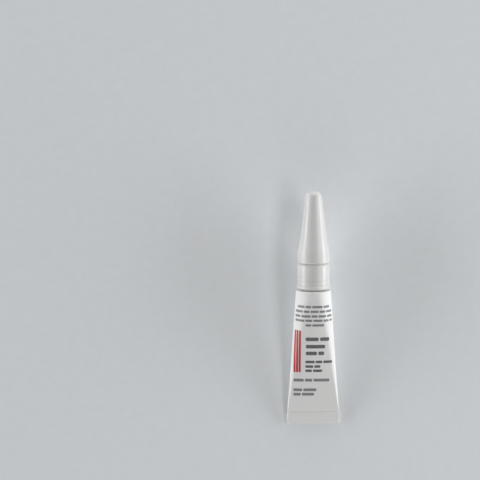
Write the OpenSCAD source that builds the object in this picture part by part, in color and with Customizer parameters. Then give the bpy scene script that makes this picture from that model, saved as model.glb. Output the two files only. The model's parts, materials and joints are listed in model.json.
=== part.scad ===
// Small super glue tube: a collapsible aluminium tube with a double-folded tail,
// a screw-on nozzle and a tall tapered cap with a pin that keeps the nozzle clear.
// Each piece is drawn about the tube's own axis, tail at zero and cap upwards, with its
// printed front towards -Y. lie_down() then lays it on a table as the real tube lies.

/* [Tube] */
// Outside diameter of the round end of the tube
tube_d = 11; // [10:0.1:14]
// Length of the tube from its folded end to the rim of the shoulder
tube_len = 42.8; // [32:0.1:60]
// Thickness of the tube's thin wall
tube_wall = 0.12; // [0.1:0.01:0.18]
// Length of the stiff round band under the rim
band_len = 1; // [0.6:0.1:3]
// Wall of the stiff band
band_wall = 0.35; // [0.3:0.05:0.6]

/* [Folded tail] */
// Height of the folded strip
fold_h = 3.9; // [2:0.1:5]
// How far each end of the fold is drawn in from the flattened width
edge_draw = 0.4; // [0:0.05:0.6]
// Gap left between the two walls where they come together
slit_t = 0.06; // [0.04:0.01:0.1]
// Gap left between the turns of the fold
turn_gap = 0.04; // [0.02:0.01:0.1]
// Corner radius at the ends of the fold's lower edge
fold_corner_r = 0.6; // [0.2:0.1:1.2]
// Height of the sealing compound above the fold
sealant_h = 2; // [1:0.1:4]

/* [Shoulder and neck] */
// Slope of the shoulder above the plane of the rim, in degrees
shoulder_angle = 5; // [2:1:40]
// Wall of the shoulder
shoulder_wall = 0.45; // [0.3:0.05:0.6]
// Radius on the rim's outer edge
rim_r = 0.1; // [0.1:0.05:0.4]
// Outside diameter of the neck
neck_d = 7.4; // [6.6:0.1:7.8]
// Wall of the neck
neck_wall = 0.6; // [0.4:0.05:0.9]
// Height of the neck above the shoulder
neck_h = 4.5; // [3:0.1:5.6]
// Thickness of the foil that closes the neck
seal_t = 0.12; // [0.08:0.01:0.3]
// How far the foil stays in from the neck's outside
seal_inset = 0.2; // [0.1:0.05:0.4]

/* [Nozzle] */
// Outside diameter of the collar, which the cap's foot matches
collar_d = 10; // [9.6:0.1:12]
// Height of the collar with its tapered foot
collar_h = 8.25; // [7:0.05:10]
// How far the bead above the tapered foot stands out
bead_out = 0.15; // [0.05:0.05:0.3]
// Height of the bead
bead_h = 0.8; // [0.4:0.1:1.5]
// Radial width of the ring that seats on the shoulder
seat_w = 0.35; // [0.2:0.05:0.6]
// How far the collar's foot stays above the ring's seat
foot_gap = 0.05; // [0.05:0.05:0.4]
// Ledge from the seat's ring out to the tapered foot
foot_step = 0.2; // [0.05:0.05:0.4]
// Height of the tapered foot below the bead
foot_h = 0.5; // [0.3:0.05:1.2]
// Radius where the tapered foot meets the bead
foot_r = 0.15; // [0.05:0.05:0.4]
// Height of the screw boss inside the cap
boss_h = 4; // [3:0.1:5.5]
// Radius on the collar's upper edge and on the cap's lower edge
parting_r = 0.8; // [0.2:0.05:0.8]
// Length of the narrow straight stretch at the end of the nozzle's bore
orifice_len = 3; // [1.5:0.1:5]

/* [Cap] */
// Height of the cap
cap_h = 22.4; // [20:0.05:30]
// Wall of the cap
cap_wall = 0.95; // [0.7:0.05:1.1]
// Height of the nearly straight skirt
skirt_h = 2.9; // [2:0.1:4]
// Radius that the skirt loses over its height
skirt_draft = 0.02; // [0:0.02:0.2]
// Height at which the flare above the skirt gives way to the long cone
flare_h = 8.2; // [5:0.1:9]
// Diameter of the cap where the flare meets the long cone
flare_d = 7.98; // [7.6:0.02:8.8]
// Diameter that the long cone would have at the very top
crown_d = 4.62; // [4:0.02:5]
// Radius of the domed top
dome_r = 2.5; // [1:0.1:2.5]
// Thickness of the solid crown above the nozzle's tip
crown_t = 3; // [2.4:0.1:4]

/* [Pin] */
// Diameter of the pin that keeps the nozzle clear
pin_d = 0.8; // [0.6:0.05:1]
// How deep the pin is set into the crown
pin_set = 1.6; // [1:0.1:1.8]
// How far the pin reaches into the nozzle
pin_reach = 4; // [2:0.1:6]

/* [Filling] */
// Length of the tube, below its round band, that the gel fills
gel_len = 18.8; // [10:0.1:26]

/* [Hidden] */

// Clearances
thread_clear = 0.12;   // round each screwed joint
seat_clear = 0.1;      // between the nozzle's seat and the shoulder
parting_gap = 0.1;     // between the collar and the cap
foil_clear = 0.1;      // between the foil and the nozzle's ledge
tip_clear = 0.4;       // between the nozzle's tip and the inside of the cap
tip_room = 0.5;        // between the end of the tip and the crown
pin_clear = 0.12;      // round the pin in the nozzle's bore
pin_fit = 0.02;        // round the pin in the crown
fill_clear = 0.05;     // between the gel or the sealant and the tube
step_in = 0.05;        // from the band's outside to the thin wall inside it
web_step = 0.02;       // from the outside of the web to the thin wall rising out of it

// Small edges
edge_r = 0.2;
boss_chamfer = 0.5;
bore_chamfer = 0.1;
pin_round = 0.3;

// Fineness of round forms
$fn = 96;
hull_fn = 64;
arc_step = 8;

// The tail: two walls together make the web, which turns up behind itself and then in again
tube_r = tube_d / 2;
tail_w = PI * tube_r - 2 * edge_draw;
web_t = 2 * tube_wall + slit_t;
turn_pitch = web_t + turn_gap;
fold_t = 2 * turn_pitch + web_t;
fold_back = fold_t - web_t / 2;
fold_bend_r = fold_t / 2;

// Heights up the tube and the neck; the thin wall runs a little way into the web and the band
band_z = tube_len - band_len;
band_lap = band_len / 2;
web_lap = web_t / 2;
cavity_z = fold_h + slit_t;
neck_r = neck_d / 2;
neck_bore_r = neck_r - neck_wall;
neck_foot_z = shoulder_z(neck_r);
neck_top = neck_foot_z + neck_h;

// Inside of the band and the shoulder
band_in_r = tube_r - band_wall;
shoulder_drop = shoulder_wall / cos(shoulder_angle);
band_in_top = shoulder_z(band_in_r) - shoulder_drop;
neck_bore_z = shoulder_z(neck_bore_r) - shoulder_drop;

// Heights and radii of the nozzle's collar
collar_r = collar_d / 2;
thread_bore_r = neck_r + thread_clear;
seat_r = thread_bore_r + seat_w;
seat_rise = seat_clear / cos(shoulder_angle);
seat_z = shoulder_z(seat_r) + seat_rise;
collar_z = seat_z + foot_gap;
collar_top = collar_z + collar_h;
bead_z = collar_z + foot_h;
ledge_z = neck_top + seal_t + foil_clear;

// Heights and radii of the cap, its cavity and the nozzle's tip inside it
cap_z = collar_top + parting_gap;
cap_top = cap_z + cap_h;
cavity_top = cap_top - crown_t;
tip_top = cavity_top - tip_room;
boss_top = collar_top + boss_h;
cap_bore_r = collar_r - cap_wall;
cap_bore_top = boss_top + tip_room;
boss_r = cap_bore_r - thread_clear;
cone_draft = (flare_d - crown_d) / 2 / (cap_h - flare_h);
pin_r = pin_d / 2;
orifice_r = pin_r + pin_clear;

// The lying pose: the tail's rounded end and the band's lower edge touch the table
bend_y = turn_pitch;
bend_z = fold_bend_r;
lean = atan2(tube_r - bend_y, band_z - bend_z)
    - asin(fold_bend_r / norm([tube_r - bend_y, band_z - bend_z]));
lift = bend_y * cos(lean) - bend_z * sin(lean) + fold_bend_r;
tail_end = bend_y * sin(lean) + bend_z * cos(lean) - fold_bend_r;
cap_end = (cap_top - dome_r) * cos(lean) + dome_r;
mid = (tail_end + cap_end) / 2;

// Places of the joints and of the flat faces, as the tube lies
echo(lean = lean, lift = lift, mid = mid, axis = [0, cos(lean), sin(lean)]);
echo(cap_turn_at = lying_point([0, 0, cap_z]), fold_front = lying_point([0, -web_t / 2, fold_h / 2]));
echo(fold_back_at = lying_point([0, fold_back, fold_h / 2]), front_normal = [0, -sin(lean), cos(lean)]);
echo(tail_w = tail_w, fold_t = fold_t, collar_z = collar_z, neck_top = neck_top, cap_top = cap_top);

// Where a point of the upright tube comes to lie
function lying_point(p) = [
    p.x,
    p.y * sin(lean) + p.z * cos(lean) - mid,
    -p.y * cos(lean) + p.z * sin(lean) + lift
];

// Height of the shoulder's outside at a radius
function shoulder_z(r) = tube_len + (tube_r - r) * tan(shoulder_angle);

// Radius of the cap's long cone at a height
function cone_r(z) = crown_d / 2 + cone_draft * (cap_top - z);

// Radius inside the cap at a height of the long cone
function cavity_r(z) = cone_r(z) - cap_wall;

function unit(v) = v / norm(v);

// A corner's place, without its radius
function place(c) = [c.x, c.y];

// Length of the side from corner p to q that p's rounding can use: half, if q is rounded too
function room(p, q) = norm(place(q) - place(p)) / (q.z == 0 ? 1 : 2);

// Points round one corner p between its neighbours a and b, with a radius that their sides can hold
function corner(a, p, b) =
    let(
        u = unit(place(a) - place(p)),
        v = unit(place(b) - place(p)),
        half = acos(u * v) / 2,
        r = min(p.z, min(room(p, a), room(p, b)) * tan(half)),
        centre = place(p) + unit(u + v) * r / sin(half),
        from = place(p) + u * r / tan(half) - centre,
        to = place(p) + v * r / tan(half) - centre,
        sweep = 180 - 2 * half,
        steps = ceil(sweep / arc_step) + 1
    )
    p.z == 0 ? [place(p)] : [
        for (i = [0:steps])
            centre + (from * sin(sweep * (1 - i / steps)) + to * sin(sweep * i / steps)) / sin(sweep)
    ];

// A closed outline from corners written as [across, up, radius]
function rounded(corners) =
    let(n = len(corners))
    [for (i = [0:n - 1]) each corner(corners[(i + n - 1) % n], corners[i], corners[(i + 1) % n])];

module turned(corners) {
    rotate_extrude() polygon(rounded(corners));
}

module lie_down() {
    translate([0, -mid, lift]) rotate([lean - 90, 0, 0]) children();
}

// A solid that is flat at the tail, flat_w by flat_t from flat_z up, and round up to round_top
module flat_to_round(flat_w, flat_t, flat_z, round_d, round_top) {
    round_z = band_z + band_lap / 2;
    hull() {
        for (side = [-1, 1])
            translate([side * (flat_w - flat_t) / 2, 0, flat_z])
                cylinder(d = flat_t, h = slit_t, $fn = hull_fn);
        translate([0, 0, round_z]) cylinder(d = round_d, h = round_top - round_z, $fn = hull_fn);
    }
}

// The space inside the thin wall, smaller by a clearance all round
module tube_cavity(clear) {
    flat_to_round(
        tail_w - 2 * tube_wall - 2 * clear,
        slit_t,
        cavity_z + clear * (band_z - cavity_z) / tube_r,
        tube_d - 2 * step_in - 2 * tube_wall - 2 * clear,
        tube_len
    );
}

// A half turn of the web about a point of the fold's section, on the upper or the lower side of it
module web_turn(at, turn_r, upper) {
    side = upper ? 0 : -1;
    out_r = turn_r + web_t / 2;
    translate(at) intersection() {
        difference() {
            circle(r = out_r);
            circle(r = turn_r - web_t / 2);
        }
        translate([-out_r, side * out_r]) square([2 * out_r, out_r]);
    }
}

// Section of the double fold: the web runs down in front, turns up behind and comes down between
module fold_section() {
    inner_turn_r = turn_pitch / 2;
    inner_turn_z = fold_h - inner_turn_r - web_t / 2;
    back_y = 2 * turn_pitch;
    translate([-web_t / 2, bend_z]) square([web_t, fold_h - bend_z]);
    web_turn([bend_y, bend_z], turn_pitch, false);
    translate([back_y - web_t / 2, bend_z]) square([web_t, inner_turn_z - bend_z]);
    web_turn([back_y - inner_turn_r, inner_turn_z], inner_turn_r, true);
    translate([turn_pitch - web_t / 2, bend_z]) square([web_t, inner_turn_z - bend_z]);
}

module folded_tail() {
    intersection() {
        rotate([90, 0, 90])
            translate([0, 0, -tail_w / 2]) linear_extrude(tail_w) fold_section();
        rotate([90, 0, 0])
            translate([0, 0, -fold_t])
            linear_extrude(2 * fold_t)
            polygon(rounded([
                [-tail_w / 2, 0, fold_corner_r],
                [tail_w / 2, 0, fold_corner_r],
                [tail_w / 2, fold_h + fold_t, 0],
                [-tail_w / 2, fold_h + fold_t, 0]
            ]));
    }
}

// The stiff band, the shoulder and the neck
module tube_head() {
    turned([
        [band_in_r, band_z, 0],
        [tube_r, band_z, 0],
        [tube_r, tube_len, rim_r],
        [neck_r, neck_foot_z, edge_r],
        [neck_r, neck_top, edge_r],
        [neck_bore_r, neck_top, 0],
        [neck_bore_r, neck_bore_z, edge_r],
        [band_in_r, band_in_top, edge_r]
    ]);
}

module tube_body() {
    color("whitesmoke") lie_down() {
        folded_tail();
        difference() {
            flat_to_round(
                tail_w - 2 * web_step,
                web_t - 2 * web_step,
                fold_h - web_lap,
                tube_d - 2 * step_in,
                band_z + band_lap
            );
            tube_cavity(0);
        }
        tube_head();
    }
}

module neck_seal() {
    color("silver") lie_down()
        translate([0, 0, neck_top]) cylinder(r = neck_r - seal_inset, h = seal_t);
}

module tail_sealant() {
    color("tan") lie_down() intersection() {
        tube_cavity(fill_clear);
        translate([-tail_w / 2, -tube_r, cavity_z]) cube([tail_w, tube_d, sealant_h]);
    }
}

module glue_gel() {
    color("azure") lie_down() {
        intersection() {
            tube_cavity(fill_clear);
            translate([-tail_w / 2, -tube_r, band_z - gel_len])
                cube([tail_w, tube_d, gel_len - fill_clear]);
        }
        turned([
            [0, band_z - band_lap, 0],
            [band_in_r - fill_clear, band_z - band_lap, 0],
            [band_in_r - fill_clear, band_in_top - fill_clear, 0],
            [neck_bore_r - fill_clear, neck_bore_z - fill_clear, 0],
            [neck_bore_r - fill_clear, neck_top - fill_clear, 0],
            [0, neck_top - fill_clear, 0]
        ]);
    }
}

module nozzle() {
    bead_r = collar_r + bead_out;
    tip_foot_r = cavity_r(boss_top) - tip_clear;
    tip_r = cavity_r(tip_top) - tip_clear;
    color("white") lie_down() turned([
        [seat_r, seat_z, 0],
        [seat_r, collar_z, 0],
        [seat_r + foot_step, collar_z, 0],
        [bead_r, bead_z, foot_r],
        [bead_r, bead_z + bead_h, 0],
        [collar_r, bead_z + bead_h + bead_out, 0],
        [collar_r, collar_top, parting_r],
        [boss_r, collar_top, 0],
        [boss_r, boss_top - boss_chamfer, 0],
        [boss_r - boss_chamfer, boss_top, 0],
        [tip_foot_r, boss_top, 0],
        [tip_r, tip_top, edge_r],
        [orifice_r, tip_top, 0],
        [orifice_r, tip_top - orifice_len, 0],
        [neck_bore_r, ledge_z, 0],
        [thread_bore_r, ledge_z, 0],
        [thread_bore_r, shoulder_z(thread_bore_r) + seat_rise, 0]
    ]);
}

module cap_pin() {
    pin_z = tip_top - pin_reach;
    color("lightsteelblue") lie_down() turned([
        [0, pin_z, 0],
        [pin_r, pin_z, pin_round],
        [pin_r, cavity_top + pin_set, 0],
        [0, cavity_top + pin_set, 0]
    ]);
}

module cap() {
    socket_r = pin_r + pin_fit;
    socket_top = cavity_top + pin_set + pin_fit;
    color("white") lie_down() turned([
        [cap_bore_r + bore_chamfer, cap_z, 0],
        [collar_r, cap_z, parting_r],
        [collar_r - skirt_draft, cap_z + skirt_h, cap_h / 4],
        [flare_d / 2, cap_z + flare_h, 4 * cap_h],
        [crown_d / 2, cap_top, dome_r],
        [0, cap_top, 0],
        [0, socket_top, 0],
        [socket_r, socket_top, 0],
        [socket_r, cavity_top, 0],
        [cavity_r(cavity_top), cavity_top, edge_r],
        [cavity_r(cap_bore_top), cap_bore_top, 0],
        [cap_bore_r, cap_bore_top - boss_chamfer, 0],
        [cap_bore_r, cap_z + bore_chamfer, 0]
    ]);
}

tube_body();
neck_seal();
tail_sealant();
glue_gel();
nozzle();
cap_pin();
cap();
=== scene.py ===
# Super glue tube: white enamelled aluminium tube with a rolled flat tail, screw-on nozzle and tall cap.
# Its pieces are drawn in millimetres about the tube's own axis, then set into the frame as it lies.
import json
import math

import bmesh
import bpy
from mathutils import Matrix, Vector, noise


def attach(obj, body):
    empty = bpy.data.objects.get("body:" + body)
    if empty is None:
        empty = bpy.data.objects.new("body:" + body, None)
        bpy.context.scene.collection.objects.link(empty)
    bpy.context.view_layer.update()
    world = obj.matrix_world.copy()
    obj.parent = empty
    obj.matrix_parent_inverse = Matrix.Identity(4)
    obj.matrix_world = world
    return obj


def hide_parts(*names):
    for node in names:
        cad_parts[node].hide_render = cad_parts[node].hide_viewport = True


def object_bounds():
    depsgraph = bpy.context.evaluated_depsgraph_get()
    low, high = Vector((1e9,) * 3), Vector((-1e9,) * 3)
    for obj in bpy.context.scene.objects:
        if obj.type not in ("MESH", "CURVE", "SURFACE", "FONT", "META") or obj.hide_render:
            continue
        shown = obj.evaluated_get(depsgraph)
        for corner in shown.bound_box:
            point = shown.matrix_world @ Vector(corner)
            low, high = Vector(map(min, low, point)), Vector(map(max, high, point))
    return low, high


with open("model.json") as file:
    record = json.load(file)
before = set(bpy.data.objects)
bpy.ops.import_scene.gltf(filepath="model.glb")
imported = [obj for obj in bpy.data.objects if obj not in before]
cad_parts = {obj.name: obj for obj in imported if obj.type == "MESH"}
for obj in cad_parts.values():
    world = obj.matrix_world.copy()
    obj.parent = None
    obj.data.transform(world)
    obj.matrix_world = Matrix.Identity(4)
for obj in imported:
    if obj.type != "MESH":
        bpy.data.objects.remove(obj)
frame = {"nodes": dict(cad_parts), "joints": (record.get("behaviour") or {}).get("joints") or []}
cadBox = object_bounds()
scene = bpy.context.scene
mm = 0.001
fullTurn = 2 * math.pi
sides = 144  # points round every turned piece
noiseLow, noiseHigh = 0.3, 0.7  # nearly all of a noise texture's values lie between these


# The tube's own frame: x to its right, y to its back, z from the folded end up to the cap
capTurn = next(joint for joint in frame["joints"] if joint["name"] == "cap_turn")
axisPoint = Vector(capTurn["pos_m"])
axisDir = Vector(capTurn["axis"]).normalized()
sideDir = Vector((1, 0, 0))
backDir = axisDir.cross(sideDir)
tailEnd = min((v.co - axisPoint).dot(axisDir) for v in frame["nodes"]["tube_body"].data.vertices)
tubeFrame = Matrix((sideDir, backDir, axisDir)).transposed().to_4x4()
tubeFrame.translation = axisPoint + axisDir * tailEnd


def reach(node):
    # lowest and highest corner of a CAD node in the tube's frame, in mm
    points = [tubeFrame.inverted() @ v.co / mm for v in frame["nodes"][node].data.vertices]
    low = Vector([min(p[i] for p in points) for i in range(3)])
    high = Vector([max(p[i] for p in points) for i in range(3)])
    return low, high


tubeHigh = reach("tube_body")[1]
nozzleLow, nozzleHigh = reach("nozzle")
capLow, capHigh = reach("cap")
pinLow, pinHigh = reach("cap_pin")
sealLow, sealHigh = reach("neck_seal")
tubeRadius = tubeHigh.y
tailHalf = tubeHigh.x
neckTop = tubeHigh.z
seatFoot, tipTop = nozzleLow.z, nozzleHigh.z
beadRadius = nozzleHigh.x
capFoot, capTop = capLow.z, capHigh.z
capRadius = capHigh.x
pinRadius = pinHigh.x
print(f"tube {tubeRadius * 2:.2f} mm round, tail {tailHalf * 2:.2f} mm wide, {capTop:.2f} mm long")


# Colour, nodes and materials

def hexColour(text):
    # sRGB hex to linear
    parts = [int(text[i:i + 2], 16) / 255 for i in (1, 3, 5)]
    return (*[p / 12.92 if p <= 0.04045 else ((p + 0.055) / 1.055) ** 2.4 for p in parts], 1)


def perMetre(size):
    # texture scale for a pattern whose cells are this many mm
    return 1 / (size * mm)


def addNode(tree, kind, inputs=None, **settings):
    # inputs maps a socket's name or number to a value, or to the socket that feeds it
    node = tree.nodes.new(kind)
    for name, value in settings.items():
        setattr(node, name, value)
    for key, value in (inputs or {}).items():
        if isinstance(value, bpy.types.NodeSocket):
            tree.links.new(value, node.inputs[key])
        else:
            node.inputs[key].default_value = value
    return node


def startFinish(name, **constants):
    # a new material, its shader with the constant values set, and the place on the upright tube
    finish = bpy.data.materials.new(name)
    finish.use_nodes = True
    tree = finish.node_tree
    shader = tree.nodes["Principled BSDF"]
    for key, value in constants.items():
        shader.inputs[key.replace("_", " ")].default_value = value
    spot = addNode(tree, "ShaderNodeTexCoord").outputs["Object"]
    place = addNode(tree, "ShaderNodeMapping", {
        "Vector": spot, "Location": tubeFrame.translation, "Rotation": tubeFrame.to_euler()},
        vector_type="TEXTURE").outputs[0]
    return finish, tree, shader, place


def feed(tree, shader, **sockets):
    for key, socket in sockets.items():
        tree.links.new(socket, shader.inputs[key.replace("_", " ")])


plastic = {
    "white": "#DCDCDB",
    "cloudy": "#D6D6D5",    # where the melt flowed last
    "cloud": 7,             # mm across the cloudy patches
    "glow": 0.6,            # mm that light spreads below the surface
    "polish": 0.28,         # roughness where the mould was smoothest
    "dull": 0.39,
    "grain": 0.45,          # mould grain is nearer 0.05 mm, coarser here so that it shows
    "grainDepth": 0.006,
    "band": "#D2D2D1",      # the metal thread behind the collar's wall
    "bandHigh": 5.1,        # mm up from the seat that the bands reach
}


def mouldedPolyethylene(name, banded):
    # Injection moulded polyethylene: waxy milk white, a broad soft sheen, a glow in thin edges
    finish, tree, shader, place = startFinish(
        name, IOR=1.52, Subsurface_Weight=0.12, Subsurface_Scale=plastic["glow"] * mm,
        Subsurface_Radius=(1, 0.95, 0.9))
    cloud = addNode(tree, "ShaderNodeTexNoise", {
        "Vector": place, "Scale": perMetre(plastic["cloud"]), "Detail": 2, "Distortion": 0.6})
    grain = addNode(tree, "ShaderNodeTexNoise", {
        "Vector": place, "Scale": perMetre(plastic["grain"]), "Detail": 2})
    tone = addNode(tree, "ShaderNodeMix", {
        0: cloud.outputs[0], 6: hexColour(plastic["white"]), 7: hexColour(plastic["cloudy"])},
        data_type="RGBA").outputs[2]
    if banded:
        # the neck's thread shows through the lower collar as faint turns
        spot = addNode(tree, "ShaderNodeSeparateXYZ", {0: place})
        turn = addNode(tree, "ShaderNodeMath", {0: spot.outputs["Y"], 1: spot.outputs["X"]},
                       operation="ARCTAN2")
        start = addNode(tree, "ShaderNodeMath", {
            0: turn.outputs[0], 1: -1 / fullTurn, 2: -neckTop / thread["pitch"] - 0.25},
            operation="MULTIPLY_ADD")
        climb = addNode(tree, "ShaderNodeMath", {
            0: spot.outputs["Z"], 1: perMetre(thread["pitch"]), 2: start.outputs[0]},
            operation="MULTIPLY_ADD")
        off = addNode(tree, "ShaderNodeMath", {0: climb.outputs[0], 1: 0.5}, operation="PINGPONG")
        ridge = addNode(tree, "ShaderNodeMapRange", {
            "Value": off.outputs[0], "From Min": thread["root"], "From Max": thread["crest"]},
            interpolation_type="SMOOTHSTEP")
        low = addNode(tree, "ShaderNodeMapRange", {
            "Value": spot.outputs["Z"],
            "From Min": (seatFoot + plastic["bandHigh"]) * mm,
            "From Max": (seatFoot + plastic["bandHigh"] - thread["pitch"]) * mm})
        shown = addNode(tree, "ShaderNodeMath", {0: ridge.outputs[0], 1: low.outputs[0]},
                        operation="MULTIPLY")
        tone = addNode(tree, "ShaderNodeMix", {
            0: shown.outputs[0], 6: tone, 7: hexColour(plastic["band"])}, data_type="RGBA").outputs[2]
    sheen = addNode(tree, "ShaderNodeMapRange", {
        "Value": cloud.outputs[0], "From Min": noiseLow, "From Max": noiseHigh,
        "To Min": plastic["polish"], "To Max": plastic["dull"]})
    relief = addNode(tree, "ShaderNodeBump", {
        "Height": grain.outputs[0], "Strength": 0.5, "Distance": plastic["grainDepth"] * mm})
    feed(tree, shader, Base_Color=tone, Roughness=sheen.outputs[0], Normal=relief.outputs[0])
    return finish


enamel = {
    "white": "#F1F1F0",
    "thin": "#EAEAE9",      # where the coat is thinner and the metal greys it
    "cloud": 11,
    "gloss": 0.44,
    "satin": 0.55,
    "peel": 0.8,            # orange peel, about 0.4 mm on the real coat, coarser so that it shows
    "peelDepth": 0.004,
    "bare": "#B9BBBD",      # metal where the coat is rubbed off the folded edge
    "scuff": 0.5,           # mm across the rubbed specks
    "rubLow": 0.52,         # rubbing at which specks begin, and at which they are bare
    "rubHigh": 0.66,
}


def bakedEnamel(name):
    # White enamel rolled on and baked: hard satin white, faintly rippled, rubbed at folded edges
    finish, tree, shader, place = startFinish(name, IOR=1.5, Specular_IOR_Level=0.28)
    cloud = addNode(tree, "ShaderNodeTexNoise", {
        "Vector": place, "Scale": perMetre(enamel["cloud"]), "Detail": 3})
    peel = addNode(tree, "ShaderNodeTexNoise", {
        "Vector": place, "Scale": perMetre(enamel["peel"]), "Detail": 1})
    scuff = addNode(tree, "ShaderNodeTexNoise", {
        "Vector": place, "Scale": perMetre(enamel["scuff"]), "Detail": 4, "Roughness": 0.7})
    worn = addNode(tree, "ShaderNodeAttribute", attribute_name="wear")
    rub = addNode(tree, "ShaderNodeMath", {
        0: worn.outputs["Fac"], 1: scuff.outputs[0]}, operation="MULTIPLY")
    bare = addNode(tree, "ShaderNodeMapRange", {
        "Value": rub.outputs[0], "From Min": enamel["rubLow"], "From Max": enamel["rubHigh"]},
        interpolation_type="SMOOTHSTEP")
    coat = addNode(tree, "ShaderNodeMix", {
        0: cloud.outputs[0], 6: hexColour(enamel["white"]), 7: hexColour(enamel["thin"])},
        data_type="RGBA")
    tone = addNode(tree, "ShaderNodeMix", {
        0: bare.outputs[0], 6: coat.outputs[2], 7: hexColour(enamel["bare"])}, data_type="RGBA")
    sheen = addNode(tree, "ShaderNodeMapRange", {
        "Value": cloud.outputs[0], "From Min": noiseLow, "From Max": noiseHigh,
        "To Min": enamel["gloss"], "To Max": enamel["satin"]})
    relief = addNode(tree, "ShaderNodeBump", {
        "Height": peel.outputs[0], "Strength": 0.6, "Distance": enamel["peelDepth"] * mm})
    feed(tree, shader, Base_Color=tone.outputs[2], Metallic=bare.outputs[0],
         Roughness=sheen.outputs[0], Normal=relief.outputs[0])
    return finish


bareMetal = {
    "pale": "#B2B5B8",      # darker grey than bright aluminium: partly its dull metal, partly painted shade for the gap under the collar
    "dark": "#94979A",
    "line": 0.16,           # tool lines run round the piece, nearer 0.03 mm on the real one
    "across": 14,           # mm before a line fades into the next
    "bright": 0.24,
    "dull": 0.4,
    "lineDepth": 0.004,
}


def linedMetal(name, pale, dark, lengthwise):
    # Bare metal with fine lines left by the tool: a soft grey mirror that streaks along its lines
    finish, tree, shader, place = startFinish(name, Metallic=1)
    fine, long = perMetre(bareMetal["line"]), perMetre(bareMetal["across"])
    stretched = addNode(tree, "ShaderNodeMapping", {
        "Vector": place, "Scale": (fine, fine, long) if lengthwise else (long, long, fine)})
    lines = addNode(tree, "ShaderNodeTexNoise", {
        "Vector": stretched.outputs[0], "Scale": 1, "Detail": 3})
    tone = addNode(tree, "ShaderNodeMix", {
        0: lines.outputs[0], 6: hexColour(dark), 7: hexColour(pale)}, data_type="RGBA")
    sheen = addNode(tree, "ShaderNodeMapRange", {
        "Value": lines.outputs[0], "From Min": noiseLow, "From Max": noiseHigh,
        "To Min": bareMetal["bright"], "To Max": bareMetal["dull"]})
    relief = addNode(tree, "ShaderNodeBump", {
        "Height": lines.outputs[0], "Strength": 0.5, "Distance": bareMetal["lineDepth"] * mm})
    feed(tree, shader, Base_Color=tone.outputs[2], Roughness=sheen.outputs[0], Normal=relief.outputs[0])
    return finish


foilLook = {
    "pale": "#DADCDE",
    # dark is painted shade along the foil's crease lines
    "dark": "#BFC2C5",
    "crease": 0.7,          # mm between creases
    "creaseDepth": 0.012,
    "bright": 0.2,
    "dull": 0.36,
}


def pressedFoil(name):
    # Rolled aluminium foil pressed over the mouth: bright and soft, with creases that catch the light,
    # and painted shade that darkens its colour along the crease lines
    finish, tree, shader, place = startFinish(name, Metallic=1)
    crease = addNode(tree, "ShaderNodeTexVoronoi", {
        "Vector": place, "Scale": perMetre(foilLook["crease"])}, feature="DISTANCE_TO_EDGE")
    # the colour runs to the darker grey along the crease lines: painted shade in the creases
    tone = addNode(tree, "ShaderNodeMix", {
        0: crease.outputs[0], 6: hexColour(foilLook["dark"]), 7: hexColour(foilLook["pale"])},
        data_type="RGBA")
    sheen = addNode(tree, "ShaderNodeMapRange", {
        "Value": crease.outputs[0], "From Max": 0.5,
        "To Min": foilLook["dull"], "To Max": foilLook["bright"]})
    relief = addNode(tree, "ShaderNodeBump", {
        "Height": crease.outputs[0], "Strength": 0.5, "Distance": foilLook["creaseDepth"] * mm})
    feed(tree, shader, Base_Color=tone.outputs[2], Roughness=sheen.outputs[0], Normal=relief.outputs[0])
    return finish


inkLook = {
    "dense": 0.5,           # mottle value up to which the film is full, and from which it is thinnest
    "thin": 0.8,
    "mottle": 0.6,          # mm, finer on the real print, coarser here so that it shows
    "relief": 0.003,
}


def printedInk(name, full, thin):
    # Offset ink under the bake: flat colour with a little mottle where the ink film is thinner
    finish, tree, shader, place = startFinish(name, IOR=1.5, Roughness=0.52, Specular_IOR_Level=0.28)
    mottle = addNode(tree, "ShaderNodeTexNoise", {
        "Vector": place, "Scale": perMetre(inkLook["mottle"]), "Detail": 3, "Roughness": 0.6})
    film = addNode(tree, "ShaderNodeMapRange", {
        "Value": mottle.outputs[0], "From Min": inkLook["dense"], "From Max": inkLook["thin"]})
    tone = addNode(tree, "ShaderNodeMix", {
        0: film.outputs[0], 6: hexColour(full), 7: hexColour(thin)}, data_type="RGBA")
    relief = addNode(tree, "ShaderNodeBump", {
        "Height": mottle.outputs[0], "Strength": 0.3, "Distance": inkLook["relief"] * mm})
    feed(tree, shader, Base_Color=tone.outputs[2], Normal=relief.outputs[0])
    return finish


fillings = {
    "gel": "#EEF3F4",
    "gelHaze": "#DCE6EA",
    "latex": "#B89E76",
    "latexDark": "#A58B64",
    "cell": 1.6,            # mm across the clouds
}


def softFilling(name, full, hazy, **constants):
    # Glue gel or sealing latex, poured and set: even, with faint clouds from the filling
    finish, tree, shader, place = startFinish(name, **constants)
    cloud = addNode(tree, "ShaderNodeTexNoise", {
        "Vector": place, "Scale": perMetre(fillings["cell"]), "Detail": 2})
    tone = addNode(tree, "ShaderNodeMix", {
        0: cloud.outputs[0], 6: hexColour(full), 7: hexColour(hazy)}, data_type="RGBA")
    feed(tree, shader, Base_Color=tone.outputs[2])
    return finish


# Outlines, rings and meshes

thread = {
    "pitch": 1.35,
    "crest": 0.12,          # half width of the ridge at its top, as a share of the pitch
    "root": 0.30,           # and where it leaves the wall
    "rows": 14,             # rings in one pitch
}


def evenly(low, high, count):
    return [low + (high - low) * i / count for i in range(count + 1)]


def heights(low, high, step):
    return evenly(low, high, math.ceil((high - low) / step))


def smooth(share):
    share = min(max(share, 0), 1)
    return share * share * (3 - 2 * share)


def threadLift(z, turn, datum):
    # how much of the right-hand ridge stands at this height and turn
    phase = (z - datum) / thread["pitch"] - turn / fullTurn
    off = abs(phase - round(phase))
    return smooth((thread["root"] - off) / (thread["root"] - thread["crest"]))


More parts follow.
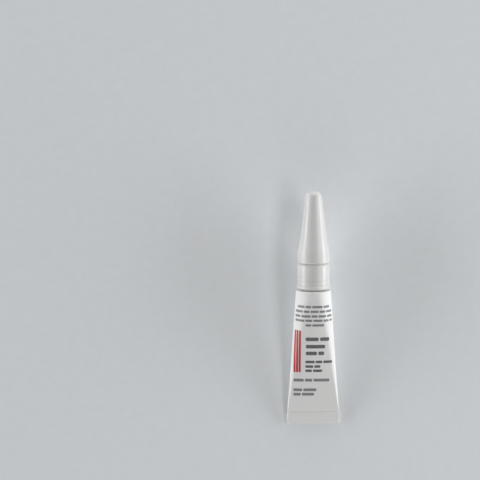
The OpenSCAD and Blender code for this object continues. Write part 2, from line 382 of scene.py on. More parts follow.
def threadRows(root, crest, fromZ, toZ, datum):
    # rows (radius, height, lift, datum); the ridge grows out of the wall over half a pitch at each end
    count = math.ceil(abs(toZ - fromZ) / thread["pitch"] * thread["rows"])
    rows = []
    for z in evenly(fromZ, toZ, count):
        fade = smooth(min(abs(z - fromZ), abs(toZ - z)) / (thread["pitch"] / 2))
        rows.append((root, z, (crest - root) * fade, datum))
    return rows


def roundCorners(corners, arcStep=5):
    # corners are (radius, height, rounding); a rounding is cut down to what its two sides can hold
    outline = [Vector(corners[0][:2])]
    for before, here, after in zip(corners, corners[1:], corners[2:]):
        point = Vector(here[:2])
        back, on = Vector(before[:2]) - point, Vector(after[:2]) - point
        half = back.angle(on) / 2
        room = min(back.length / (2 if before[2] else 1), on.length / (2 if after[2] else 1))
        cut = min(here[2] / math.tan(half), room)
        if cut < 1e-6:
            outline.append(point)
            continue
        back.normalize()
        on.normalize()
        radius = cut * math.tan(half)
        centre = point + (back + on).normalized() * radius / math.sin(half)
        start, end = point + back * cut - centre, point + on * cut - centre
        sweep = math.pi - 2 * half
        steps = max(2, math.ceil(math.degrees(sweep) / arcStep))
        for i in range(steps + 1):
            share = i / steps
            arm = start * math.sin(sweep * (1 - share)) + end * math.sin(sweep * share)
            outline.append(centre + arm / math.sin(sweep))
    outline.append(Vector(corners[-1][:2]))
    return outline


def fineRows(outline, longest=0.7):
    # splits the long straight runs, so that shading round a corner stays near that corner
    rows = [tuple(outline[0])]
    for a, b in zip(outline, outline[1:]):
        count = max(1, math.ceil((b - a).length / longest))
        rows += [tuple(p) for p in evenly(a, b, count)[1:]]
    return rows


def turnedPoint(radius, turn, z):
    # turn runs from the printed front round by the right
    return Vector((radius * math.sin(turn), -radius * math.cos(turn), z))


def turnedRing(row):
    # a row on the axis is one point
    radius, z = row[:2]
    if radius < 1e-6:
        return [Vector((0, 0, z))]
    ring = []
    for k in range(sides):
        turn = fullTurn * k / sides
        out = radius + (row[2] * threadLift(z, turn, row[3]) if len(row) > 2 else 0)
        ring.append(turnedPoint(out, turn, z))
    return ring


def skin(rings, closed=False):
    # faces between one ring and the next; with closed the last one meets the first
    points, faces, starts = [], [], []
    for ring in rings:
        starts.append(len(points))
        points += ring
    order = list(range(len(rings))) + ([0] if closed else [])
    for low, high in zip(order, order[1:]):
        for k in range(max(len(rings[low]), len(rings[high]))):
            corners = [starts[ring] + (k + step) % len(rings[ring])
                       for ring, step in ((low, 0), (low, 1), (high, 1), (high, 0))]
            faces.append(list(dict.fromkeys(corners)))
    return points, faces


def addPiece(name, body, shape, finishes, faceFinish=None, sharpAngle=35):
    points, faces = shape
    mesh = bpy.data.meshes.new(name)
    mesh.from_pydata([tubeFrame @ (p * mm) for p in points], [], faces)
    for finish in finishes:
        mesh.materials.append(finish)
    if faceFinish:
        mesh.polygons.foreach_set("material_index", faceFinish)
    build = bmesh.new()
    build.from_mesh(mesh)
    bmesh.ops.recalc_face_normals(build, faces=build.faces)
    build.to_mesh(mesh)
    build.free()
    mesh.shade_smooth()
    mesh.set_sharp_from_angle(angle=math.radians(sharpAngle))
    piece = bpy.data.objects.new(name, mesh)
    scene.collection.objects.link(piece)
    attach(piece, body)
    return piece


# Finishes

capPlastic = mouldedPolyethylene("white polyethylene, moulded cap", False)
nozzlePlastic = mouldedPolyethylene("white polyethylene, moulded nozzle", True)
whiteEnamel = bakedEnamel("white enamel, baked on aluminium")
# the turned aluminium is kept a dull grey, darker than bright aluminium: painted shade for the
# shoulder's gap under the collar
shadeGreyAluminium = linedMetal("aluminium, drawn and turned", bareMetal["pale"], bareMetal["dark"], False)
drawnSteel = linedMetal("stainless steel, drawn wire", "#C6C8CA", "#A9ACAF", True)
sealFoil = pressedFoil("aluminium foil, pressed")
darkInk = printedInk("dark grey ink, offset print", "#66686A", "#7C7E80")
greyInk = printedInk("grey ink, offset print", "#88898B", "#999A9C")
redInk = printedInk("red ink, offset print", "#BE3C44", "#CC5F64")
clearGel = softFilling("cyanoacrylate gel, clear", fillings["gel"], fillings["gelHaze"],
                       IOR=1.45, Roughness=0.06, Transmission_Weight=0.85)
setLatex = softFilling("latex sealing compound, set", fillings["latex"], fillings["latexDark"],
                       IOR=1.52, Roughness=0.72)
print("finishes:", len(bpy.data.materials))


# The tube: rolled tail, thin wall from flat to round, stiff band, shoulder and threaded neck

tubeShape = {
    "length": 42.8,         # folded end to the rim of the shoulder
    "wall": 0.12,
    "web": 0.30,            # both walls pressed together in the fold
    "turnGap": 0.04,        # between the turns of the fold
    "foldHeight": 3.9,
    "foldCorner": 0.6,
    "leftDraw": 0.08,       # how far the crimp drew the fold's two ends in
    "rightDraw": 0.02,
    "crease": 0.13,         # depth of the line that the fold presses into the front
    "creaseWidth": 0.12,
    "waist": 0.12,          # how far each side draws in, most at a third of the way up
    "pinch": 0.35,          # how much sharper the sides are than a half round, most at half way
    "dent": 0.045,          # soft hollows from filling and handling
    "dentSize": 9,
    "band": 1.0,
    "bandWall": 0.35,
    "rim": 0.1,
    "shoulder": 5,          # degrees above the plane of the rim
    "shoulderWall": 0.45,
    "neckWall": 0.6,
    "neckHeight": 4.5,
    "threadDepth": 0.32,
    "threadLead": 0.3,      # plain neck above the thread
    "edge": 0.2,
    "lip": 0.1,             # rounding of the neck's mouth
    "coatIn": 0.6,          # how far the enamel runs from the rim on to the shoulder
    "edgeShare": 0.14,      # least share of a ring's points that go to its two narrow edges
    "foldSteps": 7,         # rings in a straight run of the fold, in its inner turn and its outer one
    "innerSteps": 12,
    "outerSteps": 16,
    "foldStep": 0.3,        # mm between the rings up the front of the fold
    "creaseReach": 0.36,    # closer rings this far to each side of the crease
    "creaseStep": 0.04,
    "wallStep": 0.75,
    "innerStep": 1.2,
    "innerGap": 0.3,        # from the inside's end rings to the fold and to the band
}

rimZ = tubeShape["length"]
bandFoot = rimZ - tubeShape["band"]
foldTop = tubeShape["foldHeight"]
webHalf = tubeShape["web"] / 2
turnPitch = tubeShape["web"] + tubeShape["turnGap"]
bendZ = turnPitch + webHalf
slope = math.tan(math.radians(tubeShape["shoulder"]))
rise = 1 / math.cos(math.radians(tubeShape["shoulder"]))    # height over the shoulder per thickness
neckRadius = tubeRadius - (neckTop - tubeShape["neckHeight"] - rimZ) / slope
neckBore = neckRadius - tubeShape["neckWall"]


def wallShare(z):
    # 0 at the fold, 1 where the wall has become round
    return min(max((z - foldTop) / (bandFoot - foldTop), 0), 1)


def wallSection(z):
    # half the front's width, the radius of the two sides, and how much the middle swells above them
    share = wallShare(z)
    waist = 6.75 * share * (1 - share) ** 2     # 1 at a third of the way up
    width = (1 - share) * tailHalf + share * tubeRadius - tubeShape["waist"] * waist
    thick = (1 - share) * webHalf + share * tubeRadius
    radius = thick * (1 - tubeShape["pinch"] * 4 * share * (1 - share))
    return width - radius, radius, thick / radius - 1


def flattened(along, flat, radius, swell=0):
    # place on a flattened circle, and the way out there, at a distance round it from the front's middle
    hand = math.copysign(1, along)
    past = abs(along) - flat
    turn = min(max(past, 0) / radius, math.pi)
    across = flat + min(past, 0) - max(past - math.pi * radius, 0)
    out = Vector((hand * math.sin(turn), -math.cos(turn)))
    place = Vector((hand * across, 0)) + out * radius
    place.y *= 1 + swell * (1 - (place.x / (flat + radius)) ** 2)
    return place, out


def alongWall(k, flat, radius):
    # distance round the section of a ring's point k, more closely spaced round the narrow edges
    arc = radius * math.pi / 2
    arcShare = max(arc / (flat + arc), tubeShape["edgeShare"])
    quarter, part = divmod(4 * k / sides, 1)
    part = 1 - part if quarter % 2 else part
    if part < 1 - arcShare:
        along = flat * part / (1 - arcShare)
    else:
        along = flat + arc * (part - 1 + arcShare) / arcShare
    half = 2 * (flat + arc)
    return [along, half - along, along - half, -along][int(quarter)]


def drawnIn(place):
    # the crimp rounds the fold's lower corners and pulls its two ends in
    if place.z >= foldTop:
        return place
    radius = tubeShape["foldCorner"]
    under = max(radius - place.z, 0)
    cut = radius - math.sqrt(max(radius * radius - under * under, 0))
    pull = tubeShape["leftDraw"] if place.x < 0 else tubeShape["rightDraw"]
    place.x *= (tailHalf - cut - pull * (1 - place.z / foldTop)) / tailHalf
    return place


def wallPoint(along, z, lift=0):
    # place on the outside of the wall with its soft hollows, or off it by lift
    place, out = flattened(along, *wallSection(z))
    place = Vector((place.x, place.y, z))
    soft = math.sin(math.pi * wallShare(z))
    hollow = noise.noise(place / tubeShape["dentSize"]) * tubeShape["dent"] * soft
    pressed = math.exp(-((z - foldTop) / tubeShape["creaseWidth"]) ** 2)
    hollow -= tubeShape["crease"] * max(-out.y, 0) * pressed
    place += Vector((out.x, out.y, 0)) * (lift + hollow)
    return drawnIn(place)


def wallRing(z, lift=0):
    flat, radius, _ = wallSection(z)
    return [wallPoint(alongWall(k, flat, radius), z, lift) for k in range(sides)]


def foldRing(centre, heading):
    # the pressed web across a point of the fold's section, heading along the web
    right = turnedPoint(1, heading, 0).xy
    flat = tailHalf - webHalf
    ring = []
    for k in range(sides):
        place, _ = flattened(alongWall(k, flat, webHalf), flat, webHalf)
        off = centre + place.y * right
        ring.append(drawnIn(Vector((place.x, off.x, off.y))))
    return ring


def foldRings():
    # the web from its free end: up in the middle, over, down the back and round under to the front
    innerTurn = turnPitch / 2
    highZ = foldTop - innerTurn - webHalf
    up, down, front = math.radians(90), math.radians(-90), math.radians(-270)
    run = evenly(bendZ, highZ, tubeShape["foldSteps"])[:-1]
    rings = [foldRing(Vector((turnPitch, z)), up) for z in run]
    for heading in evenly(up, down, tubeShape["innerSteps"]):
        right = turnedPoint(1, heading, 0).xy
        rings.append(foldRing(Vector((turnPitch * 1.5, highZ)) - right * innerTurn, heading))
    rings += [foldRing(Vector((2 * turnPitch, z)), down) for z in reversed(run[1:])]
    for heading in evenly(down, front, tubeShape["outerSteps"]):
        right = turnedPoint(1, heading, 0).xy
        rings.append(foldRing(Vector((turnPitch, bendZ)) - right * turnPitch, heading))
    return rings


def zipFaces(start):
    # closes a flat ring from one side to the other
    half, quarter = sides // 2, sides // 4
    faces = []
    for k in range(-quarter, quarter):
        corners = [start + c % sides for c in (k, k + 1, half - k - 1, half - k)]
        faces.append(list(dict.fromkeys(corners)))
    return faces


def shoulderZ(radius):
    return rimZ + (tubeRadius - radius) * slope


handling = {
    "low": 0.9,             # most rubbing on the fold's lower edge
    "lowReach": 0.3,        # mm up from that edge
    "endIn": 0.55,          # mm in from the fold's two ends, and how it fades there
    "endFade": 0.4,
    "endReach": 6,          # mm above the fold
    "rim": 0.8,
    "rimBelow": 0.05,       # mm from the rim down to the most rubbed line
    "rimReach": 0.25,
    "rimIn": 0.4,
    "rimFade": 0.3,
}


def wearAt(place):
    # how much handling reaches a place: the fold's lower edge and ends, and the rim
    low = handling["low"] * smooth(1 - place.z / handling["lowReach"])
    end = smooth((abs(place.x) - tailHalf + handling["endIn"]) / handling["endFade"])
    end *= smooth((foldTop + handling["endReach"] - place.z) / handling["endReach"])
    outward = place.xy.length - tubeRadius + handling["rimIn"]
    rim = handling["rim"] * smooth(outward / handling["rimFade"])
    rim *= smooth(1 - abs(place.z - rimZ + handling["rimBelow"]) / handling["rimReach"])
    return max(low, end, rim)


def buildTube():
    under, over = foldTop - tubeShape["creaseReach"], foldTop + tubeShape["creaseReach"]
    outer = foldRings() + [wallRing(z) for z in heights(bendZ, under, tubeShape["foldStep"])[1:]]
    outer += [wallRing(z) for z in heights(under, over, tubeShape["creaseStep"])[1:]]
    outer += [wallRing(z) for z in heights(over, bandFoot, tubeShape["wallStep"])[1:]]
    edge = tubeShape["edge"]
    root = neckRadius - tubeShape["threadDepth"]
    neckFoot = neckTop - tubeShape["neckHeight"] + 2 * edge
    threadTop = neckTop - tubeShape["threadLead"]
    shoulderRows = fineRows(roundCorners([
        (tubeRadius, bandFoot, 0),
        (tubeRadius, rimZ, tubeShape["rim"]),
        (root, shoulderZ(root), edge),
        (root, neckFoot, 0)]))
    coatEnd = tubeRadius - tubeShape["coatIn"]
    enamelled = len(outer) + next(i for i, row in enumerate(shoulderRows) if row[0] < coatEnd)
    neckRows = threadRows(root, neckRadius, neckFoot, threadTop, neckTop)
    drop = tubeShape["shoulderWall"] * rise
    bandIn = tubeRadius - tubeShape["bandWall"]
    mouthRows = fineRows(roundCorners([
        (root, threadTop, 0),
        (root, neckTop, tubeShape["lip"]),
        (neckBore, neckTop, tubeShape["lip"]),
        (neckBore, shoulderZ(neckBore) - drop, edge),
        (bandIn, shoulderZ(bandIn) - drop, edge),
        (bandIn, bandFoot, 0)]))
    gap = tubeShape["innerGap"]
    innerZ = heights(foldTop + gap, bandFoot - gap, tubeShape["innerStep"])
    inner = [wallRing(z, -tubeShape["wall"]) for z in reversed(innerZ)]
    rings = outer + [turnedRing(row) for row in shoulderRows[1:] + neckRows[1:] + mouthRows[1:]] + inner
    points, faces = skin(rings)
    finish = [0 if i // sides < enamelled else 1 for i in range(len(faces))]
    ends = zipFaces(0) + zipFaces((len(rings) - 1) * sides)
    tube = addPiece("tube", "tube", (points, faces + ends), [whiteEnamel, shadeGreyAluminium],
                    finish + [1] * len(ends), sharpAngle=40)
    wear = tube.data.attributes.new("wear", "FLOAT", "POINT")
    wear.data.foreach_set("value", [wearAt(p) for p in points])
    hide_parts("tube_body")
    print("tube:", len(points), "points")


buildTube()


# The gel, which fills the upper part of the tube and its neck

gelShape = {
    "clear": 0.05,          # mm to the wall
    "step": 1.2,
    "brim": 0.1,            # rounding of its top edge
}


def buildGel():
    low, high = reach("glue_gel")
    clear = gelShape["clear"]
    bandIn = tubeRadius - tubeShape["bandWall"] - clear
    bore = neckBore - clear
    drop = tubeShape["shoulderWall"] * rise + clear
    inset = -tubeShape["wall"] - clear
    climb = heights(low.z, bandFoot - tubeShape["innerGap"], gelShape["step"])
    rings = [wallRing(z, inset) for z in climb]
    rows = fineRows(roundCorners([
        (bandIn, bandFoot, 0),
        (bandIn, shoulderZ(bandIn) - drop, tubeShape["edge"]),
        (bore, shoulderZ(bore) - drop, tubeShape["edge"]),
        (bore, high.z, gelShape["brim"]),
        (0, high.z, 0)]))
    points, faces = skin(rings + [turnedRing(row) for row in rows])
    gel = addPiece("gel_filling", "tube", (points, faces + zipFaces(0)), [clearGel])
    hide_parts("glue_gel")
    print("gel:", len(points), "points")


buildGel()


# The strip of sealing compound that was squeezed into the wedge above the fold

sealantShape = {
    "foot": 0.6,            # height above the fold where it runs out
    "clear": 0.05,
    "step": 0.3,
}


def buildSealant():
    top = reach("tail_sealant")[1].z
    inset = -tubeShape["wall"] - sealantShape["clear"]
    climb = heights(foldTop + sealantShape["foot"], top, sealantShape["step"])
    rings = [wallRing(z, inset) for z in climb]
    points, faces = skin(rings)
    ends = zipFaces(0) + zipFaces(len(points) - sides)
    strip = addPiece("sealing_strip", "tube", (points, faces + ends), [setLatex])
    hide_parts("tail_sealant")
    print("sealant:", len(points), "points")


buildSealant()


# The print on the front: plain bars where a label has its lines, and three red rules

labelPrint = {
    "lift": 0.02,           # how far the ink stands off the wall, mm
    "sink": 0.03,           # and how far its underside lies in it
    "column": 0.3,          # spacing of the points across a bar
    "ends": 3,              # columns in a rounded end
    "bars": (7, 5, 9, 6, 8, 5),             # lengths of the bars in a line, used over and over
    "share": 0.5,           # line heights in one unit of those lengths
    "gap": 0.42,            # between two bars, in line heights
    "corner": 0.3,          # rounding of a bar, in line heights
    "rowHigh": 0.9,         # most that one row of faces climbs
    "top": 0.72,            # heights of the lines
    "middle": 0.82,
    "low": 0.92,
    "bold": 1.15,
    # lines as height, left end and right end
    "smallTop": [(38.2, -5.6, 5.9), (36.7, -6.5, 6.2), (35.2, -6.5, 6.2),
                 (33.8, -6.3, 6.2), (32.3, -2.7, 3.1)],
    "boldLines": [(27.8, -2.6, 6.3), (25.4, -2.5, 3.5), (23.2, -2.5, 3.2)],
    "smallMiddle": [(20.4, -2.6, 5.8), (18.9, -2.6, 2.1), (17.5, -2.6, 3.7)],
    "smallLow": [(14.4, -6.3, 5.0), (11.2, -6.3, 0.9), (9.75, -6.3, 0.2)],
    "rules": (-6.3, -5.5, -4.7),            # left edges of the red rules
    "rule": 0.62,                           # their width, and how far up they run
    "ruleLow": 17.0,
    "ruleHigh": 30.6,
    "ruleCorner": 0.2,
}


def barShape(left, right, low, high, rounding):
    # a thin slab that follows the wall, with rounded ends, as points and faces
    ends = labelPrint["ends"]
    steps = [rounding * (1 - math.cos(math.pi / 2 * i / ends)) for i in range(ends)]
    middle = heights(left + rounding, right - rounding, labelPrint["column"])
    columns = [left + s for s in steps] + middle + [right - s for s in reversed(steps)]
    middleZ, half = (low + high) / 2, (high - low) / 2
    rows = max(1, math.ceil((high - low) / labelPrint["rowHigh"]))
    rings = []
    for along in columns:
        inset = max(rounding - min(along - left, right - along), 0)
        reachZ = half - rounding + math.sqrt(max(rounding ** 2 - inset ** 2, 0))
        climb = evenly(middleZ - reachZ, middleZ + reachZ, rows)
        rings.append([wallPoint(along, z, labelPrint["lift"]) for z in climb]
                     + [wallPoint(along, z, -labelPrint["sink"]) for z in reversed(climb)])
    points, faces = skin(rings)
    count = len(rings[0])
    for start in (0, len(points) - count):
        faces += [[start + i, start + i + 1, start + count - 2 - i, start + count - 1 - i]
                  for i in range(rows)]
    return points, faces


def lineBars(lines, height):
    # cuts each line into plain bars with narrow gaps
    bars, count = [], 0
    for z, left, right in lines:
        at = left
        while right - at > height:
            length = labelPrint["bars"][count % len(labelPrint["bars"])] * labelPrint["share"] * height
            end = right if right - at < length + height else at + length
            bars.append(barShape(at, end, z - height / 2, z + height / 2, height * labelPrint["corner"]))
            at = end + labelPrint["gap"] * height
            count += 1
    return bars


def addPrint(name, bars, ink):
    points, faces = [], []
    for barPoints, barFaces in bars:
        faces += [[len(points) + i for i in face] for face in barFaces]
        points += barPoints
    addPiece(name, "tube", (points, faces), [ink])
    print(name + ":", len(bars), "bars")


addPrint("print_grey", lineBars(labelPrint["smallTop"], labelPrint["top"])
         + lineBars(labelPrint["smallLow"], labelPrint["low"]), greyInk)
addPrint("print_dark", lineBars(labelPrint["boldLines"], labelPrint["bold"])
         + lineBars(labelPrint["smallMiddle"], labelPrint["middle"]), darkInk)
addPrint("print_red", [barShape(left, left + labelPrint["rule"], labelPrint["ruleLow"],
                                labelPrint["ruleHigh"], labelPrint["ruleCorner"])
                       for left in labelPrint["rules"]], redInk)


# The foil over the mouth, pressed down on the neck's rim and a little slack inside it

foilShape = {
    "thick": 0.05,
    "proud": 0.02,          # how far the foil stands off the rim, apart from its pressed edge
    "slack": 0.05,
    "wrinkle": 0.025,
    "wrinkles": 22,
    "uneven": 3,            # how far the wrinkles crowd together and spread, in radians
    "wrinkleFrom": 0.3,     # the wrinkles lie between these shares of the radius
    "wrinkleTo": 0.88,
    "wrinkleFade": 0.3,
    "edge": 0.03,           # share of the radius that is pressed down
    "rings": 14,
}


def buildFoil():
    radius = sealHigh.x
    top = sealLow.z + foilShape["thick"] + foilShape["proud"]

    def foilRing(share, under):
        inside = smooth(1 - share * radius / neckBore)
        edge = smooth((share - 1 + foilShape["edge"]) / foilShape["edge"])
        wrinkled = smooth((share - foilShape["wrinkleFrom"]) / foilShape["wrinkleFade"])
        wrinkled *= smooth((foilShape["wrinkleTo"] - share) / foilShape["wrinkleFade"])
        ring = []
        for k in range(sides):
            turn = fullTurn * k / sides
            swing = turn * foilShape["wrinkles"] + foilShape["uneven"] * math.sin(turn * 2)
            ripple = math.sin(swing) * foilShape["wrinkle"]
            z = top - inside * foilShape["slack"] + ripple * wrinkled - edge * foilShape["proud"]
            ring.append(turnedPoint(share * radius, turn, z - (foilShape["thick"] if under else 0)))
        return ring

    shares = evenly(0, 1, foilShape["rings"])[1:]
    rings = [[Vector((0, 0, top - foilShape["slack"]))]]
    rings += [foilRing(s, False) for s in shares] + [foilRing(s, True) for s in reversed(shares)]
    rings.append([Vector((0, 0, top - foilShape["slack"] - foilShape["thick"]))])
    foil = addPiece("mouth_foil", "tube", skin(rings), [sealFoil], sharpAngle=60)
    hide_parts("neck_seal")
    print("foil:", len(rings), "rings")


buildFoil()


# The nozzle: collar with a bead at its foot, screw boss and long tapered tip, in one moulding

nozzleShape = {
    "seat": 0.35,           # width of the ring that seats on the shoulder
    "seatClear": 0.1,
    "footGap": 0.05,        # from the ring's seat up to the tapered foot
    "footStep": 0.2,        # and from the ring out to it
    "footHeight": 0.5,
    "footRadius": 0.15,
    "bead": 0.8,            # height of the bead
    "beadOut": 0.15,
    "parting": 0.1,         # gap below the cap
    "chamferIn": 0.5,       # the collar's upper edge and the cap's lower one make a groove
    "chamferHigh": 0.45,
    "chamferRound": 0.25,
    "threadClear": 0.12,
    "threadDepth": 0.32,
    "boss": 4,
    "bossRadius": 3.93,
    "bossFoot": 0.3,        # plain boss below its thread and above it
    "bossLead": 0.25,
    "bossDepth": 0.38,      # depth of the cap's thread
    "tipFoot": 3.14,
    "tipEnd": 1.37,
    "tipRing": 0.12,        # small bead round the foot of the tip, its height and where it ends
    "tipRingHigh": 0.5,
    "tipRingEnd": 0.7,
    "orifice": 0.52,
    "orificeFlare": 0.12,
    "orificeDeep": 0.15,    # depth of that flare
    "orificeLength": 3,
    "throat": 0.3,          # rounding below the orifice
    "foilClear": 0.1,
    "threadFoot": 0.15,     # plain bore below the thread
    "edge": 0.2,            # roundings from soft to crisp
    "fine": 0.1,
    "small": 0.05,
    "crisp": 0.03,
}


def buildNozzle():
    shape = nozzleShape
    collarFoot = seatFoot + shape["footGap"]
    beadFoot = collarFoot + shape["footHeight"]
    beadTop = beadFoot + shape["bead"]
    collarRadius = beadRadius - shape["beadOut"]
    collarTop = capFoot - shape["parting"]
    bossFoot = collarTop + shape["bossFoot"]
    bossTop = collarTop + shape["boss"]
    bore = neckRadius + shape["threadClear"]
    ledge = sealHigh.z + shape["foilClear"]
    bossRoot = shape["bossRadius"] - shape["bossDepth"]
    collar = fineRows(roundCorners([
        (bore + shape["seat"], seatFoot, 0),
        (bore + shape["seat"], collarFoot, shape["crisp"]),
        (bore + shape["seat"] + shape["footStep"], collarFoot, shape["small"]),
        (beadRadius, beadFoot, shape["footRadius"]),
        (beadRadius, beadTop, shape["fine"]),
        (collarRadius, beadTop + shape["beadOut"], shape["fine"]),
        (collarRadius, collarTop - shape["chamferHigh"], shape["chamferRound"]),
        (collarRadius - shape["chamferIn"], collarTop, shape["crisp"]),
        (bossRoot, collarTop, shape["fine"]),
        (bossRoot, bossFoot, 0)]))
    boss = threadRows(bossRoot, shape["bossRadius"], bossFoot, bossTop - shape["bossLead"], capFoot)
    tip = fineRows(roundCorners([
        (bossRoot, bossTop - shape["bossLead"], 0),
        (bossRoot, bossTop, shape["edge"]),
        (shape["tipFoot"] + shape["tipRing"], bossTop, shape["small"]),
        (shape["tipFoot"] + shape["tipRing"] / 2, bossTop + shape["tipRingHigh"], shape["fine"]),
        (shape["tipFoot"] - shape["tipRing"], bossTop + shape["tipRingEnd"], shape["fine"]),
        (shape["tipEnd"], tipTop, shape["edge"]),
        (shape["orifice"] + shape["orificeFlare"], tipTop, 0),
        (shape["orifice"], tipTop - shape["orificeDeep"], 0),
        (shape["orifice"], tipTop - shape["orificeLength"], shape["throat"]),
        (neckBore, ledge, 0),
        (bore, ledge, 0),
        (bore, ledge - shape["edge"], 0)]))
    seat = shoulderZ(bore) + shape["seatClear"] * rise
    inside = threadRows(bore, bore - shape["threadDepth"], ledge - shape["edge"],
                        seat + shape["threadFoot"], neckTop + thread["pitch"] / 2)
    foot = [(bore, seat)]
    rows = collar + boss[1:] + tip[1:] + inside[1:] + foot
    nozzle = addPiece("nozzle_moulding", "nozzle", skin([turnedRing(row) for row in rows], closed=True),
                      [nozzlePlastic])
    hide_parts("nozzle")
    print("nozzle:", len(rows), "rings")


buildNozzle()


# The cap: short skirt, flare, long cone and domed crown, with a thread, a cavity and the pin's socket

capShape = {
    "wall": 0.95,
    "settle": 0.07,         # how far the lower edge closes in on the collar
    "skirt": 2.9,
    "skirtDraft": 0.02,
    "flare": 8.2,           # height where the flare gives way to the cone
    "flareRadius": 3.99,
    "crownRadius": 2.31,
    "dome": 2.5,
    "crown": 3,             # solid above the cavity
    "chamfer": 0.1,
    "threadTop": 4.5,       # height of the threaded bore
    "threadDepth": 0.38,
    "threadEnd": 0.5,       # slope at the bore's top, and down to where the thread begins
    "threadLead": 0.6,
    "threadFoot": 0.1,      # plain bore below the thread
    "socketFit": 0.02,
    "gate": 0.42,           # radius of the mark where the plastic went in
    "gateLip": 0.01,
    "gateSlope": 0.05,
    "gateDepth": 0.03,
    "gateNub": 0.16,
    "gateRise": 0.01,       # how far the nub rises in the mark
    "gateStep": 0.1,
    "edge": 0.2,
    "fine": 0.1,
}


def buildCap():
    shape = capShape
    height = capTop - capFoot
    foot = capFoot - shape["settle"]
    bore = capRadius - shape["wall"]
    draft = (shape["flareRadius"] - shape["crownRadius"]) / (height - shape["flare"])
    cavityTop = capTop - shape["crown"]
    boreTop = capFoot + shape["threadTop"]
    socket = pinRadius + shape["socketFit"]

    def cavity(z):
        return shape["crownRadius"] + draft * (capTop - z) - shape["wall"]

    outside = roundCorners([
        (bore + shape["chamfer"], foot, 0),
        (capRadius - nozzleShape["chamferIn"], foot, nozzleShape["crisp"]),
        (capRadius, foot + nozzleShape["chamferHigh"], nozzleShape["chamferRound"]),
        (capRadius - shape["skirtDraft"], capFoot + shape["skirt"], height / 4),
        (shape["flareRadius"], capFoot + shape["flare"], 4 * height),
        (shape["crownRadius"], capTop, shape["dome"]),
        (0, capTop, 0)], arcStep=3)
    rim = [p for p in outside if p.x > shape["gate"]]
    gateZ = rim[-1].y - shape["gateLip"]
    gateFloor = gateZ - shape["gateDepth"]
    gate = [Vector(p) for p in (
        (shape["gate"] - shape["gateSlope"], gateZ),
        (shape["gate"] - 2 * shape["gateSlope"], gateFloor),
        (shape["gateNub"] + shape["gateSlope"], gateFloor),
        (shape["gateNub"], gateFloor),
        (0, gateFloor + shape["gateRise"]))]
    inside = fineRows(roundCorners([
        (0, pinHigh.z + shape["socketFit"], 0),
        (socket, pinHigh.z + shape["socketFit"], 0),
        (socket, cavityTop, shape["fine"]),
        (cavity(cavityTop), cavityTop, shape["edge"]),
        (cavity(boreTop), boreTop, shape["edge"]),
        (bore, boreTop - shape["threadEnd"], 0),
        (bore, boreTop - shape["threadLead"], 0)]))
    mouth = capFoot + shape["chamfer"]
    turns = threadRows(bore, bore - shape["threadDepth"], boreTop - shape["threadLead"],
                       mouth + shape["threadFoot"], capFoot + thread["pitch"] / 2)
    lip = [(bore, mouth)]
    rows = inside + turns[1:] + lip + fineRows(rim) + fineRows(gate, shape["gateStep"])
    cap = addPiece("cap_moulding", "cap", skin([turnedRing(row) for row in rows]), [capPlastic])
    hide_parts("cap")
    print("cap:", len(rows), "rings")


buildCap()


# The pin in the crown that keeps the nozzle clear: drawn wire, round at one end, with two gripping rings

pinShape = {
    "point": 0.34,          # rounding of its free end
    "end": 0.05,
    "grip": 0.06,           # depth of the gripping rings
    "gripSlope": 1.5,       # half width of one, in depths
    "gripAt": (0.5, 1.0),   # mm below the top
}


def buildPin():
    corners = [(0, pinLow.z, 0), (pinRadius, pinLow.z, pinShape["point"])]
    for below in reversed(pinShape["gripAt"]):
        z = pinHigh.z - below
        for radius, step in ((pinRadius, -1), (pinRadius - pinShape["grip"], 0), (pinRadius, 1)):
            corners.append((radius, z + step * pinShape["grip"] * pinShape["gripSlope"], 0))
    corners += [(pinRadius, pinHigh.z, pinShape["end"]), (0, pinHigh.z, 0)]
    rows = fineRows(roundCorners(corners, arcStep=9))
    pin = addPiece("clearing_pin", "cap_core", skin([turnedRing(row) for row in rows]), [drawnSteel])
    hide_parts("cap_pin")
    print("pin:", len(rows), "rings")


buildPin()


# Floor, light and camera

studio = {
    "floor": "#D8DCDF",
    "fleck": "#D1D5D8",
    "fleckSize": 2.5,       # mm
    "floorSize": 3,         # m
    "floorGlow": 0.12,      # lifts the floor to a pale tone for the eye alone
    "fill": 0.08,           # light from all round
    "backdrop": 0.6,        # how bright the surroundings look
    "boxes": {              # place, watts, and the box's length and width, in m
        "left softbox": ((-0.985, 0, 0.174), 8.3, 1.1, 0.25),
        "right softbox": ((0.985, 0, 0.174), 8.2, 1.1, 0.25),
        "key softbox": ((0.643, 0, 0.766), 2.85, 1.1, 0.25),
        "foot softbox": ((0, -0.94, 0.342), 2.1, 0.8, 0.25),
        "cap softbox": ((0, 0.985, 0.174), 4.4, 0.8, 0.25),
    },
    "view": (-22.89, 21.55, 367),   # the camera looks straight down, mm
    "roll": -0.264,         # degrees
    "lens": 86.69,
}


def seenFactor(tree):
    # 1 for what the eye sees, straight or in a reflection or through glass
    path = addNode(tree, "ShaderNodeLightPath")
    either = addNode(tree, "ShaderNodeMath", {
        0: path.outputs["Is Camera Ray"], 1: path.outputs["Is Glossy Ray"]}, operation="MAXIMUM")
    return addNode(tree, "ShaderNodeMath", {
        0: either.outputs[0], 1: path.outputs["Is Transmission Ray"]}, operation="MAXIMUM").outputs[0]


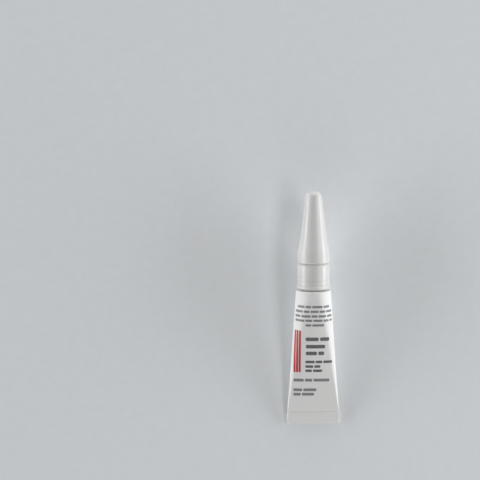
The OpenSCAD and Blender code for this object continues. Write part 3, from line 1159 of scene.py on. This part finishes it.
def buildFloor():
    # Matt paper, rolled: pale and even, with the faintest fleck
    finish, tree, shader, place = startFinish(
        "matt paper, pale", Roughness=0.9, Specular_IOR_Level=0.1, Emission_Color=(1, 1, 1, 1))
    fleck = addNode(tree, "ShaderNodeTexNoise", {
        "Vector": place, "Scale": perMetre(studio["fleckSize"]), "Detail": 4})
    tone = addNode(tree, "ShaderNodeMix", {
        0: fleck.outputs[0], 6: hexColour(studio["floor"]), 7: hexColour(studio["fleck"])},
        data_type="RGBA")
    glow = addNode(tree, "ShaderNodeMath", {
        0: seenFactor(tree), 1: studio["floorGlow"]}, operation="MULTIPLY")
    feed(tree, shader, Base_Color=tone.outputs[2], Emission_Strength=glow.outputs[0])
    half = studio["floorSize"] / 2
    mesh = bpy.data.meshes.new("floor")
    corners = ((-half, -half), (half, -half), (half, half), (-half, half))
    mesh.from_pydata([(x, y, cadBox[0].z) for x, y in corners], [], [(0, 1, 2, 3)])
    mesh.materials.append(finish)
    floor = bpy.data.objects.new("floor", mesh)
    scene.collection.objects.link(floor)


def buildLight():
    for name, (place, watts, length, width) in studio["boxes"].items():
        lamp = bpy.data.lights.new(name, "AREA")
        lamp.shape = "RECTANGLE"
        lamp.size, lamp.size_y = length, width
        lamp.energy = watts
        box = bpy.data.objects.new(name, lamp)
        box.location = place
        box.rotation_euler = Vector(place).to_track_quat("Z", "Y").to_euler()
        box.visible_camera = False
        scene.collection.objects.link(box)
    world = bpy.data.worlds.new("studio")
    world.use_nodes = True
    tree = world.node_tree
    tree.nodes.clear()
    fill = addNode(tree, "ShaderNodeBackground", {
        "Strength": studio["fill"], "Color": (1, 1, 1, 1)})
    backdrop = addNode(tree, "ShaderNodeBackground", {
        "Strength": studio["backdrop"], "Color": (1, 1, 1, 1)})
    mix = addNode(tree, "ShaderNodeMixShader", {
        0: seenFactor(tree), 1: fill.outputs[0], 2: backdrop.outputs[0]})
    addNode(tree, "ShaderNodeOutputWorld", {"Surface": mix.outputs[0]})
    scene.world = world


def buildCamera():
    camera = bpy.data.objects.new("camera", bpy.data.cameras.new("camera"))
    camera.location = Vector(studio["view"]) * mm
    camera.rotation_euler.z = math.radians(studio["roll"])
    camera.data.lens = studio["lens"]
    scene.collection.objects.link(camera)
    scene.camera = camera


buildFloor()
buildLight()
buildCamera()
scene.view_settings.view_transform = "Standard"
print("studio ready")
